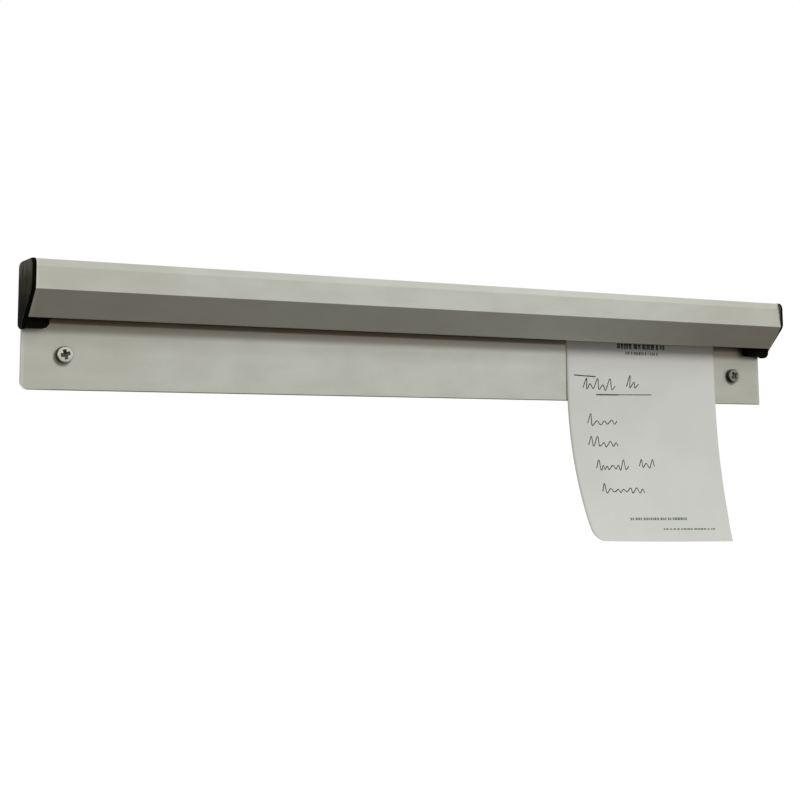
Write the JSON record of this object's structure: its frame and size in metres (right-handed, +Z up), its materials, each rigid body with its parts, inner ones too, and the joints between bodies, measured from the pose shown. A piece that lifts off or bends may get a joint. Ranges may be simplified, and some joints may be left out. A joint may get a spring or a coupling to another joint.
{
  "type": "order ticket rail",
  "caption": "Wall-mounted aluminium ticket rail: a hood with a slot under it, closed by plastic end caps, where loose glass balls pinch paper tickets against the back plate.",
  "frame": {"origin": "on the wall plane, which is the back of the plate, midway between the two mounting screws", "axes": "+X along the rail to the right as seen from the front, +Y into the wall, +Z up"},
  "size_m": [0.4612, 0.0484, 0.1411],
  "materials": {
    "satin_aluminium": "satin",
    "cap_plastic": "fine matt grain",
    "clear_glass": "polished",
    "screw_steel": "bright zinc plate",
    "ticket_paper": "matt"
  },
  "bodies": {
    "rail": {"rail": "satin_aluminium", "end_cap_left": "cap_plastic", "end_cap_right": "cap_plastic", "screw_left": "screw_steel", "screw_right": "screw_steel"},
    "ticket": {"ticket": "ticket_paper"},
    "ball_01": {"ball_01": "clear_glass"},
    "ball_02": {"ball_02": "clear_glass"},
    "ball_03": {"ball_03": "clear_glass"},
    "ball_04": {"ball_04": "clear_glass"},
    "ball_05": {"ball_05": "clear_glass"},
    "ball_06": {"ball_06": "clear_glass"},
    "ball_07": {"ball_07": "clear_glass"},
    "ball_08": {"ball_08": "clear_glass"},
    "ball_09": {"ball_09": "clear_glass"},
    "ball_10": {"ball_10": "clear_glass"},
    "ball_11": {"ball_11": "clear_glass"},
    "ball_12": {"ball_12": "clear_glass"},
    "ball_13": {"ball_13": "clear_glass"},
    "ball_14": {"ball_14": "clear_glass"},
    "ball_15": {"ball_15": "clear_glass"},
    "ball_16": {"ball_16": "clear_glass"},
    "ball_17": {"ball_17": "clear_glass"},
    "ball_18": {"ball_18": "clear_glass"},
    "ball_19": {"ball_19": "clear_glass"},
    "ball_20": {"ball_20": "clear_glass"},
    "ball_21": {"ball_21": "clear_glass"},
    "ball_22": {"ball_22": "clear_glass"},
    "ball_23": {"ball_23": "clear_glass"},
    "ball_24": {"ball_24": "clear_glass"},
    "ball_25": {"ball_25": "clear_glass"},
    "ball_26": {"ball_26": "clear_glass"}
  },
  "joints": [
    {"name": "ball_01_lift", "type": "slide", "parent": "rail", "child": "ball_01", "axis": [0, -0.6438, 0.7652], "range_m": [0, 0.0052]},
    {"name": "ball_02_lift", "type": "slide", "parent": "rail", "child": "ball_02", "axis": [0, -0.6438, 0.7652], "range_m": [0, 0.0052]},
    {"name": "ball_03_lift", "type": "slide", "parent": "rail", "child": "ball_03", "axis": [0, -0.6438, 0.7652], "range_m": [0, 0.0052]},
    {"name": "ball_04_lift", "type": "slide", "parent": "rail", "child": "ball_04", "axis": [0, -0.6438, 0.7652], "range_m": [0, 0.0052]},
    {"name": "ball_05_lift", "type": "slide", "parent": "rail", "child": "ball_05", "axis": [0, -0.6438, 0.7652], "range_m": [0, 0.0052]},
    {"name": "ball_06_lift", "type": "slide", "parent": "rail", "child": "ball_06", "axis": [0, -0.6438, 0.7652], "range_m": [0, 0.0052]},
    {"name": "ball_07_lift", "type": "slide", "parent": "rail", "child": "ball_07", "axis": [0, -0.6438, 0.7652], "range_m": [0, 0.0052]},
    {"name": "ball_08_lift", "type": "slide", "parent": "rail", "child": "ball_08", "axis": [0, -0.6438, 0.7652], "range_m": [0, 0.0052]},
    {"name": "ball_09_lift", "type": "slide", "parent": "rail", "child": "ball_09", "axis": [0, -0.6438, 0.7652], "range_m": [0, 0.0052]},
    {"name": "ball_10_lift", "type": "slide", "parent": "rail", "child": "ball_10", "axis": [0, -0.6438, 0.7652], "range_m": [0, 0.0052]},
    {"name": "ball_11_lift", "type": "slide", "parent": "rail", "child": "ball_11", "axis": [0, -0.6438, 0.7652], "range_m": [0, 0.0052]},
    {"name": "ball_12_lift", "type": "slide", "parent": "rail", "child": "ball_12", "axis": [0, -0.6438, 0.7652], "range_m": [0, 0.0052]},
    {"name": "ball_13_lift", "type": "slide", "parent": "rail", "child": "ball_13", "axis": [0, -0.6438, 0.7652], "range_m": [0, 0.0052]},
    {"name": "ball_14_lift", "type": "slide", "parent": "rail", "child": "ball_14", "axis": [0, -0.6438, 0.7652], "range_m": [0, 0.0052]},
    {"name": "ball_15_lift", "type": "slide", "parent": "rail", "child": "ball_15", "axis": [0, -0.6438, 0.7652], "range_m": [0, 0.0052]},
    {"name": "ball_16_lift", "type": "slide", "parent": "rail", "child": "ball_16", "axis": [0, -0.6438, 0.7652], "range_m": [0, 0.0052]},
    {"name": "ball_17_lift", "type": "slide", "parent": "rail", "child": "ball_17", "axis": [0, -0.6438, 0.7652], "range_m": [0, 0.0052]},
    {"name": "ball_18_lift", "type": "slide", "parent": "rail", "child": "ball_18", "axis": [0, -0.6438, 0.7652], "range_m": [0, 0.0052]},
    {"name": "ball_19_lift", "type": "slide", "parent": "rail", "child": "ball_19", "axis": [0, -0.6438, 0.7652], "range_m": [0, 0.0048]},
    {"name": "ball_20_lift", "type": "slide", "parent": "rail", "child": "ball_20", "axis": [0, -0.6438, 0.7652], "range_m": [0, 0.0048]},
    {"name": "ball_21_lift", "type": "slide", "parent": "rail", "child": "ball_21", "axis": [0, -0.6438, 0.7652], "range_m": [0, 0.0048]},
    {"name": "ball_22_lift", "type": "slide", "parent": "rail", "child": "ball_22", "axis": [0, -0.6438, 0.7652], "range_m": [0, 0.0048]},
    {"name": "ball_23_lift", "type": "slide", "parent": "rail", "child": "ball_23", "axis": [0, -0.6438, 0.7652], "range_m": [0, 0.0048]},
    {"name": "ball_24_lift", "type": "slide", "parent": "rail", "child": "ball_24", "axis": [0, -0.6438, 0.7652], "range_m": [0, 0.0048]},
    {"name": "ball_25_lift", "type": "slide", "parent": "rail", "child": "ball_25", "axis": [0, -0.6438, 0.7652], "range_m": [0, 0.0048]},
    {"name": "ball_26_lift", "type": "slide", "parent": "rail", "child": "ball_26", "axis": [0, -0.6438, 0.7652], "range_m": [0, 0.0052]},
    {"name": "ticket_pull", "type": "slide", "parent": "rail", "child": "ticket", "axis": [0, 0, -1], "range_m": [0, 0.028]}
  ]
}
